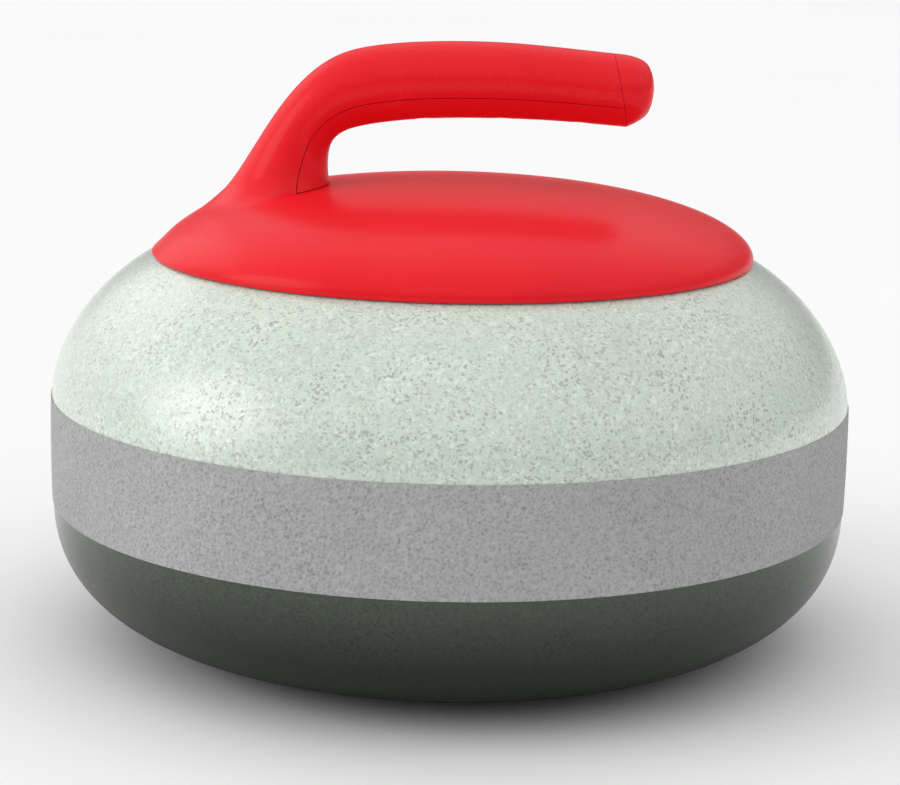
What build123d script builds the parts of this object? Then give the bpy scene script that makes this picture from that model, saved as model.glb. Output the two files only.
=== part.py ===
"""Curling stone: a turned granite body with a bonded running insert, and a gooseneck handle
clamped on by one bolt.

Millimetres. The origin is the centre of the ring that the stone runs on, +Z is up, and the grip's
free end points along +X. The granite is a solid of revolution about Z. The handle is symmetric
about the XZ plane.
"""

from build123d import *

import os
from math import cos, pi, radians, sin

os.makedirs("parts", exist_ok=True)

# ---- granite body --------------------------------------------------------------------------------
BELT_R = 139.0  # greatest radius, at the middle of the striking band
BELT_CROWN = 0.3  # the band is barrelled by this much
POLISH_STEP = 0.4  # the polished faces are ground this far below the band's edges
BAND_LOW, BAND_TOP = 49.6, 85.7  # the striking band's lower and upper edges
STONE_H = 142.8  # ring to ring
POLISH_R = BELT_R - BELT_CROWN - POLISH_STEP
RING_IN, RING_OUT = 60.5, 65.5  # running ring, the flat annulus round each cup
RING_RISE = 0.8  # the polished underside starts this far above the ice
CUP_DEPTH = 7.0
LOW_POWERS = (2.3, 2.38)  # superellipse powers (height, radius) of the lower shoulder
TOP_POWERS = (1.74, 2.03)  # and of the upper shoulder
SHOULDER_STEPS = 12

BORE_R = 9.0  # drilled right through, lined with a sleeve
TOP_RECESS_R, TOP_RECESS_FLOOR = 18.5, 115.0

# ---- running insert, let into the underside ------------------------------------------------------
INSERT_R, INSERT_TOP = 76.0, 20.0
BOND = 0.5  # epoxy layer round the insert and over it
HEAD_RECESS_R = 18.0  # hole in the insert that the bolt head stands in

# ---- bolt and washers ----------------------------------------------------------------------------
SEAT_Z = INSERT_TOP + BOND  # granite face that the washers bear on
CUSHION_T, PLAIN_T, LOCK_T = 2.0, 2.0, 2.0
CUSHION_R, PLAIN_R, LOCK_R = 15.5, 14.0, 7.3
WASHER_HOLE_R = 4.3
WASHER_EDGE = 0.4  # chamfer of the plain washer
LOCK_SLIT, LOCK_SLANT = 1.2, 25  # width and slant in degrees of the spring washer's slit
BOLT_R = 4.0  # M8
BOLT_HEAD_H, BOLT_HEAD_AF = 5.3, 13.0
BOLT_HEAD_EDGE, BOLT_TIP_EDGE = 0.3, 0.9  # how far the head's corners and the tip are turned off
BOLT_LEN = 125.0  # under the head
RUNNING = 0.05  # radial clearance of a running fit
SLEEVE_WALL_R = 4.6

# ---- base plate and threaded insert --------------------------------------------------------------
PLATE_R, PLATE_TOP, FLANGE_Z = 74.0, 147.0, 143.8
CUP_GAP = 2.0  # room between cup and plate, filled by the friction ring
PLATE_CUP_R = 58.5
FRICTION_IN, FRICTION_OUT = 28.0, 42.0
SPIGOT_R, SPIGOT_LOW = 18.0, 116.5
PLATE_BORE_R = 4.6
NUT_AF, NUT_LOW, NUT_FLANGE_Z, NUT_TOP, NUT_FLANGE_R = 16.0, 119.0, 138.5, 141.5, 11.0

# ---- cover dome ----------------------------------------------------------------------------------
DOME_R, DOME_RIM_Z, DOME_RISE = 103.9, 135.0, 24.0
DOME_POWERS = (1.93, 2.19)
DOME_STEPS = 14
RIM_INNER_R, DOME_WALL = 97.4, 3.0
RIM_DROP = 6.0  # the rim is made this much too deep, then cut to the granite's shape
RIM_CUT_IN, RIM_CUT_OUT, RIM_CUT_STEPS = 91.4, 106.9, 5  # reach of the tool that cuts it
GASKET_IN, GASKET_OUT, GASKET_T = 98.0, 102.7, 1.3
COVER_SCREW_R, COVER_SCREW_ANGLES = 50.0, (25, 80, 130, -130, -80, -25)
COVER_SCREW_SPOTS = [
    (COVER_SCREW_R * cos(radians(a)), COVER_SCREW_R * sin(radians(a))) for a in COVER_SCREW_ANGLES
]
COVER_SEAT, COVER_SCREW_TIP, COVER_BOSS_TOP, COVER_BOSS_R = 145.0, 152.0, 154.7, 5.0
LIP_IN, LIP_GAP = 103.0, 0.5  # outside the gasket the rim drops to this gap above the granite
# The dome is drawn in below the neck's outer side, along this line (x, z) from the rim to the neck.
FAIRING_LINE = (
    (-104.2, 132.6),
    (-101.9, 136.0),
    (-98.0, 140.2),
    (-92.1, 144.6),
    (-86.4, 148.5),
)

# ---- gooseneck and grip --------------------------------------------------------------------------
# Each section spans from an outer to an inner point (x, z), with a half width in y.
SECTIONS = (
    ((-86.4, 147.9), (-37.7, 147.9), 26.0),
    ((-78.4, 155.9), (-42.7, 156.4), 19.2),
    ((-71.3, 166.3), (-43.7, 164.8), 15.4),
    ((-63.5, 178.7), (-42.5, 171.2), 13.8),
    ((-53.6, 191.5), (-38.6, 175.1), 13.4),
    ((-41.2, 201.0), (-32.3, 177.3), 13.7),
    ((-27.8, 204.8), (-23.3, 178.9), 14.3),
    ((-13.4, 206.3), (-11.9, 180.1), 14.8),
    ((0.5, 206.8), (1.0, 180.7), 15.0),
    ((14.4, 206.7), (15.4, 180.8), 15.1),
    ((28.3, 205.9), (30.3, 180.5), 15.0),
    ((41.2, 204.8), (44.9, 179.7), 14.8),
    ((53.6, 203.7), (58.6, 178.7), 14.4),
)
CAP_SECTIONS = (
    SECTIONS[-1],
    ((58.3, 203.2), (61.2, 179.9), 14.1),
    ((62.2, 202.2), (63.6, 181.4), 13.2),
    ((64.9, 200.7), (65.4, 183.0), 11.6),
    ((66.5, 198.3), (66.6, 185.3), 9.2),
    ((67.4, 195.4), (67.3, 188.2), 5.6),
    ((67.7, 193.2), (67.7, 190.4), 2.2),
)
SHELL_WALL = 3.0
PARTING = 0.3  # the under shell takes this share of each section, from its inner side
SEAM_SHARE, SEAM_GAP = 0.006, 0.15  # shut line between the shells, as a share and as a gap
PARTING_REACH, PARTING_HALF = 12.0, 40.0  # the parting tool's run past the grip, and half width
CAP_PLUG_X, CAP_FIT = 49.6, 0.15  # the end cap's plug starts here, with this clearance in the grip
CAP_BLANK = (40.0, 60.0, 60.0)

# ---- aluminium core inside the handle ------------------------------------------------------------
CORE_Z = 193.0  # centre of its straight length
CORE_PATH = ((-58.6, 149.0), (-56.6, 166.8), (-44.7, 186.7), (-19.9, CORE_Z), (47.7, CORE_Z))
CORE_BEND = 14.0
CORE_W, CORE_T, CORE_EDGE = 12.0, 9.0, 1.5
CORE_UNDER, CORE_TOP = CORE_Z - CORE_T / 2, CORE_Z + CORE_T / 2
FOOT_X, FOOT_LEN, FOOT_W, FOOT_H, FOOT_CORNER = -58.0, 28.0, 24.0, 4.0, 4.0
GRIP_SCREW_X = (-11.0, 16.0, 43.0)
GRIP_BOSS_LOW, GRIP_SCREW_SEAT, GRIP_SCREW_TIP = 182.2, 185.3, 201.2
GRIP_BOSS_R, GRIP_BOSS_H, GRIP_WELL_R, GRIP_WELL_DROP = 5.0, 12.0, 4.0, 5.0
GRIP_SOCKET_R = 5.6
CORE_SCREWS = ((-66.0, 7.0), (-66.0, -7.0), (-50.0, 0.0))

# ---- screws --------------------------------------------------------------------------------------
PAN_R, PAN_H, PAN_ROUND, SCREW_R, SCREW_TIP_EDGE = 3.5, 2.2, 1.2, 1.95, 0.8
CROSS_LEN, CROSS_W, CROSS_DEPTH = 3.6, 0.8, 1.1
CSK_R, CSK_SHANK_R, CSK_H = 4.6, 2.4, 2.2
CSK_SOCKET_R, CSK_SOCKET_DEPTH = 1.5, 1.2
CLEAR_R, HEAD_CLEAR_R = 2.2, 3.9  # clearance holes for the M4 shanks and pan heads
CSK_WELL_LOW = 136.5  # the countersunk screws are driven through wells from here

UP = (Align.CENTER, Align.CENTER, Align.MIN)  # standing on its base


def on_xz(*edges):
    """A face in the XZ plane from edges drawn as (radius or x, z)."""
    return make_face(Plane.XZ * (Curve() + list(edges)))


def turned(*edges):
    """A solid of revolution about Z from edges drawn as (radius, z)."""
    return revolve(on_xz(*edges), Axis.Z)


def ring(r_in, r_out, z_low, z_high):
    """A plain washer-shaped solid about Z."""
    height = z_high - z_low
    outer = Pos(0, 0, z_low) * Cylinder(r_out, height, align=UP)
    if r_in == 0:
        return outer
    return outer - Pos(0, 0, z_low) * Cylinder(r_in, height, align=UP)


def peg(x, y, z_low, z_high, radius):
    """A vertical cylinder at (x, y)."""
    return Pos(x, y, z_low) * Cylinder(radius, z_high - z_low, align=UP)


def shoulder(r_flat, r_side, z_flat, z_side, powers, steps=SHOULDER_STEPS):
    """Points of a quarter superellipse, from the upright side to the flat end."""
    n, m = powers
    points = []
    for i in range(steps + 1):
        a = pi / 2 * i / steps
        z = z_side + (z_flat - z_side) * sin(a) ** (2 / n)
        r = r_flat + (r_side - r_flat) * max(cos(a), 0.0) ** (2 / m)
        points.append((r, z))
    return points


def shoulder_z(r, r_flat, r_side, z_flat, z_side, powers):
    """Height of that superellipse at radius r."""
    n, m = powers
    across = (r - r_flat) / (r_side - r_flat)
    return z_side + (z_flat - z_side) * (1 - across**m) ** (1 / n)


def cup_arc(z_rim, z_centre, r_out, r_in=0.0):
    """The spherical cup's arc from radius r_out to r_in, and its two end points."""
    depth = abs(z_centre - z_rim)
    ball = (RING_IN**2 + depth**2) / (2 * depth)
    side = 1 if z_centre < z_rim else -1

    def at(r):
        return (r, z_centre + side * (ball - (ball**2 - r**2) ** 0.5))

    return ThreePointArc(at(r_out), at((r_out + r_in) / 2), at(r_in)), at(r_out), at(r_in)


# ---- granite -------------------------------------------------------------------------------------
UNDER_SHAPE = (RING_OUT, POLISH_R, RING_RISE, BAND_LOW, LOW_POWERS)
OVER_SHAPE = (RING_OUT, POLISH_R, STONE_H, BAND_TOP, TOP_POWERS)
TOP_CUP_Z = STONE_H - CUP_DEPTH


def make_stone():
    """The whole turned stone in one: cups, rings, shoulders and band."""
    low_curve = shoulder(*UNDER_SHAPE)
    top_curve = shoulder(*OVER_SHAPE)
    low_cup, low_rim, low_centre = cup_arc(0, CUP_DEPTH, RING_IN)
    top_cup, top_rim, top_centre = cup_arc(STONE_H, TOP_CUP_Z, RING_IN)
    band_edge = BELT_R - BELT_CROWN
    band_mid = (BAND_LOW + BAND_TOP) / 2
    return turned(
        low_cup,
        Line(low_rim, (RING_OUT, 0)),
        Line((RING_OUT, 0), low_curve[-1]),
        Spline(low_curve),
        Line(low_curve[0], (band_edge, BAND_LOW)),
        ThreePointArc((band_edge, BAND_LOW), (BELT_R, band_mid), (band_edge, BAND_TOP)),
        Line((band_edge, BAND_TOP), top_curve[0]),
        Spline(top_curve),
        Line(top_curve[-1], top_rim),
        top_cup,
        Line(top_centre, low_centre),
    )


def make_stone_body(whole):
    """The granite body: the whole stone less the insert's pocket, the bore and the top recess."""
    pocket = ring(0, INSERT_R + BOND, 0, SEAT_Z)
    bore = ring(0, BORE_R, 0, STONE_H)
    recess = ring(0, TOP_RECESS_R, TOP_RECESS_FLOOR, STONE_H)
    return whole - pocket - bore - recess


def make_running_insert(whole):
    """The hard disc that carries the running ring, with a hole for the bolt head."""
    return whole & ring(HEAD_RECESS_R, INSERT_R, 0, INSERT_TOP)


def make_insert_bond(whole):
    """The epoxy cup between the insert and its pocket."""
    filled = whole & ring(HEAD_RECESS_R, INSERT_R + BOND, 0, SEAT_Z)
    return filled - ring(0, INSERT_R, 0, INSERT_TOP)


def make_bore_sleeve():
    """The nylon liner that keeps the bolt off the granite."""
    return ring(SLEEVE_WALL_R, BORE_R, SEAT_Z, TOP_RECESS_FLOOR)


# ---- bolt stack ----------------------------------------------------------------------------------
PLAIN_Z = SEAT_Z - CUSHION_T
LOCK_Z = PLAIN_Z - PLAIN_T
HEAD_Z = LOCK_Z - LOCK_T


def make_washers():
    """Cushion, plain and split spring washers, from the granite down to the bolt head."""
    cushion = ring(WASHER_HOLE_R, CUSHION_R, PLAIN_Z, SEAT_Z)
    plain = ring(WASHER_HOLE_R, PLAIN_R, LOCK_Z, PLAIN_Z)
    rims = plain.edges().filter_by(GeomType.CIRCLE).group_by(Axis.Z)[0]
    plain = chamfer(rims[-1], WASHER_EDGE)
    lock = ring(WASHER_HOLE_R, LOCK_R, HEAD_Z, LOCK_Z)
    slit = Rot(LOCK_SLANT, 0, 0) * Box(LOCK_R, LOCK_SLIT, 3 * LOCK_T)
    slit = Pos(LOCK_R, 0, HEAD_Z + LOCK_T / 2) * slit
    return cushion, plain, lock - slit


def make_bolt():
    """The long hexagon-headed bolt, head down."""
    low = Pos(0, 0, HEAD_Z - BOLT_HEAD_H)
    head = extrude(low * RegularPolygon(BOLT_HEAD_AF / 2, 6, major_radius=False), BOLT_HEAD_H)
    cone_r = BOLT_HEAD_AF / 2 - BOLT_HEAD_EDGE
    corner_cone = low * Cone(cone_r, cone_r + 3 * BOLT_HEAD_H, BOLT_HEAD_H, align=UP)
    shank = ring(0, BOLT_R, HEAD_Z, HEAD_Z + BOLT_LEN)
    shank = chamfer(shank.edges().sort_by(Axis.Z)[-1], BOLT_TIP_EDGE)
    return (head & corner_cone) + shank


# ---- base plate ----------------------------------------------------------------------------------
def make_threaded_insert():
    """The flanged hexagonal brass insert that the bolt screws into."""
    outline = Pos(0, 0, NUT_LOW) * RegularPolygon(NUT_AF / 2, 6, major_radius=False)
    hexagon = extrude(outline, NUT_FLANGE_Z - NUT_LOW)
    flange = ring(0, NUT_FLANGE_R, NUT_FLANGE_Z, NUT_TOP)
    return hexagon + flange - ring(0, BOLT_R + RUNNING, NUT_LOW, NUT_TOP)


def make_base_plate(brass):
    """The moulded plate under the cover, with the spigot that holds the brass insert."""
    cup, cup_rim, cup_centre = cup_arc(STONE_H + CUP_GAP, TOP_CUP_Z + CUP_GAP, PLATE_CUP_R)
    disc = turned(
        cup,
        Line(cup_rim, (PLATE_CUP_R, FLANGE_Z)),
        Line((PLATE_CUP_R, FLANGE_Z), (PLATE_R, FLANGE_Z)),
        Line((PLATE_R, FLANGE_Z), (PLATE_R, PLATE_TOP)),
        Line((PLATE_R, PLATE_TOP), (0, PLATE_TOP)),
        Line((0, PLATE_TOP), cup_centre),
    )
    plate = disc + ring(0, SPIGOT_R, SPIGOT_LOW, PLATE_TOP)
    plate -= brass
    plate -= ring(0, PLATE_BORE_R, SPIGOT_LOW, PLATE_TOP)
    plate -= ring(0, NUT_FLANGE_R, NUT_TOP, PLATE_TOP)
    for x, y in COVER_SCREW_SPOTS:
        plate -= peg(x, y, SPIGOT_LOW, COVER_SEAT, HEAD_CLEAR_R)
        plate -= peg(x, y, COVER_SEAT, PLATE_TOP, CLEAR_R)
    for x, y in CORE_SCREWS:
        plate -= countersink_tool(x, y)
    return plate


def make_friction_ring(stone, plate):
    """The rubber ring pinched between the plate and the granite cup."""
    return ring(FRICTION_IN, FRICTION_OUT, TOP_CUP_Z, FLANGE_Z) - stone - plate


# ---- screws --------------------------------------------------------------------------------------

def pan_screw(x, y, seat, tip):
    """A pan-head screw, head down, with a cross recess."""
    head = peg(x, y, seat - PAN_H, seat, PAN_R)
    head = fillet(head.edges().sort_by(Axis.Z)[0], PAN_ROUND)
    shank = chamfer(peg(x, y, seat, tip, SCREW_R).edges().sort_by(Axis.Z)[-1], SCREW_TIP_EDGE)
    slot = Box(CROSS_LEN, CROSS_W, CROSS_DEPTH, align=UP)
    cross = Pos(x, y, seat - PAN_H) * (slot + Rot(0, 0, 90) * slot)
    return head + shank - cross


def countersink_tool(x, y):
    """What a countersunk screw takes out of the base plate."""
    cone = Pos(x, y, FLANGE_Z) * Cone(CSK_R, CSK_SHANK_R, CSK_H, align=UP)
    well = peg(x, y, CSK_WELL_LOW, FLANGE_Z, CSK_R)
    return cone + well + peg(x, y, FLANGE_Z, PLATE_TOP, CSK_SHANK_R)


def countersunk_screw(x, y):
    """A countersunk screw from under the plate up into the core's foot."""
    cone = Pos(x, y, FLANGE_Z) * Cone(CSK_R, CSK_SHANK_R, CSK_H, align=UP)
    shank = peg(x, y, FLANGE_Z + CSK_H, PLATE_TOP + FOOT_H, CSK_SHANK_R)
    socket = Pos(x, y, FLANGE_Z) * Cylinder(CSK_SOCKET_R, CSK_SOCKET_DEPTH, align=UP)
    return cone + shank - socket


# ---- handle --------------------------------------------------------------------------------------
def section_face(outer, inner, half_width, inset=0.0):
    """The oval section that spans from an outer to an inner point of the side view."""
    (xo, zo), (xi, zi) = outer, inner
    dx, dz = xo - xi, zo - zi
    span = (dx**2 + dz**2) ** 0.5
    middle = ((xo + xi) / 2, 0, (zo + zi) / 2)
    plane = Plane(origin=middle, x_dir=(dx, 0, dz), z_dir=(dz, 0, -dx))
    return plane * Ellipse(span / 2 - inset, half_width - inset)


def make_tube(inset=0.0):
    """The gooseneck and grip as one lofted solid; inset makes the hollow inside it."""
    return loft([section_face(*s, inset=inset) for s in SECTIONS])


def make_dome(radius, rise):
    """A solid dome of this radius and rise, still flat underneath."""
    low = DOME_RIM_Z - RIM_DROP
    points = shoulder(0, radius, DOME_RIM_Z + rise, DOME_RIM_Z, DOME_POWERS, DOME_STEPS)
    return turned(
        Spline(points),
        Line(points[-1], (0, low)),
        Line((0, low), (radius, low)),
        Line((radius, low), points[0]),
    )


def make_rim_cutter(rise):
    """The granite's upper shoulder raised by this much, which shapes the cover's rim."""
    points = []
    for i in range(RIM_CUT_STEPS + 1):
        r = RIM_CUT_IN + (RIM_CUT_OUT - RIM_CUT_IN) * i / RIM_CUT_STEPS
        points.append((r, shoulder_z(r, *OVER_SHAPE) + rise))
    low = DOME_RIM_Z - 2 * RIM_DROP
    return turned(
        Spline(points),
        Line(points[-1], (RIM_CUT_OUT, low)),
        Line((RIM_CUT_OUT, low), (0, low)),
        Line((0, low), (0, points[0][1])),
        Line((0, points[0][1]), points[0]),
    )


def make_fairing_cutter():
    """What is drawn in from the dome, between its rim and the neck's outer side."""
    start, end = FAIRING_LINE[0], FAIRING_LINE[-1]
    above, beyond = DOME_RIM_Z + DOME_RISE, -RIM_CUT_OUT
    face = on_xz(
        Spline(FAIRING_LINE),
        Line(end, (end[0], above)),
        Line((end[0], above), (beyond, above)),
        Line((beyond, above), (beyond, start[1])),
        Line((beyond, start[1]), start),
    )
    return extrude(face, DOME_R, both=True)


def make_parting_block(share):
    """The region inside the parting line, which runs along the grip and down the neck."""
    line = []
    for (xo, zo), (xi, zi), _ in SECTIONS:
        line.append((xi + share * (xo - xi), zi + share * (zo - zi)))
    (x0, z0), (x1, z1) = line[0], line[-1]
    beyond = x1 + PARTING_REACH
    face = on_xz(
        Spline(line),
        Line((x1, z1), (beyond, z1)),
        Line((beyond, z1), (beyond, z0)),
        Line((beyond, z0), (x0, z0)),
    )
    return extrude(face, PARTING_HALF, both=True)


def make_handle_shells():
    """The cover with the neck and the grip's upper side, and the under shell."""
    dome = make_dome(DOME_R, DOME_RISE)
    hollow = make_dome(RIM_INNER_R, DOME_RISE - DOME_WALL)
    tube = make_tube()
    cavity = make_tube(SHELL_WALL)
    under = (tube - cavity) & make_parting_block(PARTING - SEAM_SHARE)
    under -= make_dome(DOME_R + SEAM_GAP, DOME_RISE + SEAM_GAP)
    upper = dome - make_fairing_cutter() + (tube - make_parting_block(PARTING))
    upper -= make_rim_cutter(LIP_GAP)
    upper -= make_rim_cutter(GASKET_T) & ring(0, LIP_IN, DOME_RIM_Z - 2 * RIM_DROP, STONE_H)
    upper = upper - hollow - cavity
    for x, y in COVER_SCREW_SPOTS:
        upper += peg(x, y, PLATE_TOP, COVER_BOSS_TOP, COVER_BOSS_R)
        upper -= peg(x, y, PLATE_TOP, COVER_SCREW_TIP, SCREW_R)
    mid_wall = make_tube(SHELL_WALL / 2)
    for x in GRIP_SCREW_X:
        upper += peg(x, 0, CORE_TOP, CORE_TOP + GRIP_BOSS_H, GRIP_BOSS_R) & mid_wall
        upper -= peg(x, 0, CORE_TOP, GRIP_SCREW_TIP, SCREW_R)
        under += peg(x, 0, GRIP_BOSS_LOW, CORE_UNDER, GRIP_SOCKET_R)
        under -= peg(x, 0, GRIP_BOSS_LOW - GRIP_WELL_DROP, GRIP_SCREW_SEAT, GRIP_WELL_R)
        under -= peg(x, 0, GRIP_SCREW_SEAT, CORE_UNDER, CLEAR_R)
    return upper, under


def make_rim_gasket(stone):
    """The rubber ring under the cover's rim, which follows the granite's shoulder."""
    blank = ring(GASKET_IN, GASKET_OUT, DOME_RIM_Z - RIM_DROP, STONE_H)
    return (blank & make_rim_cutter(GASKET_T)) - stone


def make_end_cap():
    """The blunt rounded cap that closes the grip, with a plug that fits inside it."""
    crown = loft([section_face(*s) for s in CAP_SECTIONS])
    blank = Box(*CAP_BLANK, align=(Align.MIN, Align.CENTER, Align.CENTER))
    plug = make_tube(SHELL_WALL + CAP_FIT) & Pos(CAP_PLUG_X, 0, CORE_Z) * blank
    return crown + plug


def make_core():
    """The bent aluminium bar that carries the load from the grip to the base plate."""
    path = Plane.XZ * FilletPolyline(*CORE_PATH, radius=CORE_BEND)
    start = Plane(origin=path @ 0, x_dir=(0, 1, 0), z_dir=path % 0)
    bar = sweep(start * RectangleRounded(CORE_W, CORE_T, CORE_EDGE), path=path)
    foot = Pos(FOOT_X, 0, PLATE_TOP) * Box(FOOT_LEN, FOOT_W, FOOT_H, align=UP)
    core = bar + fillet(foot.edges().filter_by(Axis.Z), FOOT_CORNER)
    for x, y in CORE_SCREWS:
        core -= peg(x, y, PLATE_TOP, PLATE_TOP + FOOT_H, CSK_SHANK_R)
    for x in GRIP_SCREW_X:
        core -= peg(x, 0, CORE_UNDER, CORE_TOP, CLEAR_R)
    return core


def save(name, *shapes):
    """Writes one sub-part; several shapes stay separate solids."""
    solids = [solid for shape in shapes for solid in shape.solids()]
    export_step(solids[0] if len(solids) == 1 else Compound(solids), f"parts/{name}.step")


def main():
    whole = make_stone()
    stone = make_stone_body(whole)
    brass = make_threaded_insert()
    plate = make_base_plate(brass)
    upper, under = make_handle_shells()
    cushion, plain, lock = make_washers()
    save("stone_body", stone)
    save("running_insert", make_running_insert(whole))
    save("insert_bond", make_insert_bond(whole))
    save("bore_sleeve", make_bore_sleeve())
    save("cushion_washer", cushion)
    save("plain_washer", plain)
    save("lock_washer", lock)
    save("through_bolt", make_bolt())
    save("threaded_insert", brass)
    save("base_plate", plate)
    save("friction_ring", make_friction_ring(stone, plate))
    save("rim_gasket", make_rim_gasket(stone))
    save("handle_shell", upper)
    save("grip_under_shell", under)
    save("grip_end_cap", make_end_cap())
    save("handle_core", make_core())
    cover_screws = [pan_screw(x, y, COVER_SEAT, COVER_SCREW_TIP) for x, y in COVER_SCREW_SPOTS]
    grip_screws = [pan_screw(x, 0, GRIP_SCREW_SEAT, GRIP_SCREW_TIP) for x in GRIP_SCREW_X]
    save("cover_screws", *cover_screws)
    save("core_screws", *[countersunk_screw(x, y) for x, y in CORE_SCREWS])
    save("grip_screws", *grip_screws)


main()
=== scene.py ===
"""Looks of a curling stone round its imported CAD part.

The granite body, its running insert with the epoxy line, and the red moulded handle are made again
here as finer meshes. The other CAD nodes stay and get materials.
"""

import math

import bmesh
import bpy
import numpy as np
from mathutils import Matrix, Vector


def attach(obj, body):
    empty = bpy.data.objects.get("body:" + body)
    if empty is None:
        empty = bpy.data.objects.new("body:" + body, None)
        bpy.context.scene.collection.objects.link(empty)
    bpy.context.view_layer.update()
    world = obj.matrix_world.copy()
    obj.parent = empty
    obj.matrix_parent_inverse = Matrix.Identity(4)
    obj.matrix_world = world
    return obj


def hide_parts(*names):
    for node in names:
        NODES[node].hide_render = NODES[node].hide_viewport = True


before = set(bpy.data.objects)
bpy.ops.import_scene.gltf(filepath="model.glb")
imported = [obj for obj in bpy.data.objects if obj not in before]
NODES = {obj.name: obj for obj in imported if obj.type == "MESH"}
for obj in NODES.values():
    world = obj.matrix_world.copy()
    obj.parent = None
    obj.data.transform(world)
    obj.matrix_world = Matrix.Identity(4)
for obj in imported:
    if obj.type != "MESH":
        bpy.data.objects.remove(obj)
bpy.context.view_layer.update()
MM = 0.001

# ---- sizes in mm: the CAD part's, and a few that only the finer meshes have ----------------------
BELT_R, BELT_CROWN, POLISH_STEP = 139.0, 0.3, 0.4
BAND_LOW, BAND_TOP, STONE_H = 49.6, 85.7, 142.8
RING_IN, RING_OUT, RING_RISE = 60.5, 65.5, 0.8
CUP_DEPTH = 7.0
STONE_SEGMENTS, INSERT_SEGMENTS = 640, 384
PECK_DEPTH, PECK_SEED = 0.14, 7
BAND_EDGE = 0.12  # small chamfer at the band's two edges
CLOSE = 0.05  # how much the meshed crown stays inside the CAD's, and a tolerance on radii
LOW_POWERS, TOP_POWERS = (2.3, 2.38), (1.74, 2.03)
BORE_R, TOP_RECESS_R, TOP_RECESS_FLOOR = 9.0, 18.5, 115.0
INSERT_R, INSERT_TOP, BOND, HEAD_RECESS_R = 76.0, 20.0, 0.5, 18.0
POLISH_R = BELT_R - BELT_CROWN - POLISH_STEP
CUP_BALL_R = (RING_IN**2 + CUP_DEPTH**2) / (2 * CUP_DEPTH)

DOME_R, DOME_RIM_Z, DOME_RISE = 103.9, 135.0, 24.0
HOLLOW_R, DOME_WALL = 97.4, 3.0
DOME_POWERS = (1.93, 2.19)
GASKET_T = 1.3
LIP_IN, LIP_GAP, LIP_ROUND = 103.0, 0.5, 0.5  # the cover's lip, outside the gasket
# Under the neck's outer side the dome is drawn in to this line of (radius, z), the CAD part's but
# for its ends.
FAIRING_LINE = np.array(
    ((84.0, 150.2), (86.4, 148.5), (92.1, 144.6), (98.0, 140.2), (101.9, 136.3), (103.9, 134.4))
)
FAIRING_SPREAD = math.radians(62)  # how far round to each side it fades out

# Neck and grip: each section spans from an outer to an inner point (x, z), with a half width in y.
SECTIONS = np.array(
    (
        (-86.4, 147.9, -37.7, 147.9, 26.0),
        (-78.4, 155.9, -42.7, 156.4, 19.2),
        (-71.3, 166.3, -43.7, 164.8, 15.4),
        (-63.5, 178.7, -42.5, 171.2, 13.8),
        (-53.6, 191.5, -38.6, 175.1, 13.4),
        (-41.2, 201.0, -32.3, 177.3, 13.7),
        (-27.8, 204.8, -23.3, 178.9, 14.3),
        (-13.4, 206.3, -11.9, 180.1, 14.8),
        (0.5, 206.8, 1.0, 180.7, 15.0),
        (14.4, 206.7, 15.4, 180.8, 15.1),
        (28.3, 205.9, 30.3, 180.5, 15.0),
        (41.2, 204.8, 44.9, 179.7, 14.8),
        (53.6, 203.7, 58.6, 178.7, 14.4),
    )
)
SHELL_WALL = 3.0
PARTING = 0.3  # the under shell's share of each section
HALF_SPAN = 12.9  # half the height of a usual section, for the parting line's angle
SKIN_R, INNER_SKIN_R = 13.5, 10.5  # the tube's usual radius outside and inside, for the seam
SEAM = 0.12  # half of the shut line between the two shells
SEAM_TURN, INNER_SEAM_TURN = SEAM / SKIN_R, SEAM / INNER_SKIN_R
NECK_X = -61.0  # rays over the dome fan out from here
FAIRING = 9.0  # reach of the fillet where the neck meets the dome
FAIRING_FADE = 0.62  # the share of the way round to the seam where the fillet starts to shrink
CAP_SECTIONS = np.array(
    (
        (53.6, 203.7, 58.6, 178.7, 14.4),
        (58.3, 203.2, 61.2, 179.9, 14.1),
        (62.2, 202.2, 63.6, 181.4, 13.2),
        (64.9, 200.7, 65.4, 183.0, 11.6),
        (66.5, 198.3, 66.6, 185.3, 9.2),
        (67.4, 195.4, 67.3, 188.2, 5.6),
        (67.7, 193.2, 67.7, 190.4, 2.2),
    )
)
CAP_TIP = (67.75, 0.0, 191.8)
GRIP_SCREW_X = (-11.0, 16.0, 43.0)
GRIP_BOSS_LOW, GRIP_SCREW_SEAT, CORE_UNDER = 182.2, 185.3, 188.5
GRIP_BOSS_R, GRIP_WELL_R, GRIP_SHANK_R = 5.6, 4.0, 2.2
GRIP_WELL_BELOW = 6.0  # the well's tool starts this far below the boss
PLUG_FIT = 0.15  # the end cap's plug has this clearance in the grip

# ---- linear colours ------------------------------------------------------------------------------
# The lower granite's colour is painted shade: the same granite as the upper half, painted dark
# where it curves under.
UPPER_GRANITE, LOWER_GRANITE_PAINTED_SHADE = (0.585, 0.672, 0.575), (0.019, 0.032, 0.0165)
PECKED_GRANITE, INSERT_GRANITE = (0.385, 0.385, 0.385), (0.15, 0.19, 0.235)
HONED_RING = (0.36, 0.4, 0.44)
DEEP_RED, BRIGHT_RED, SCUFFED_RED = (0.80, 0.009, 0.017), (0.85, 0.013, 0.023), (0.95, 0.16, 0.17)

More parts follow.
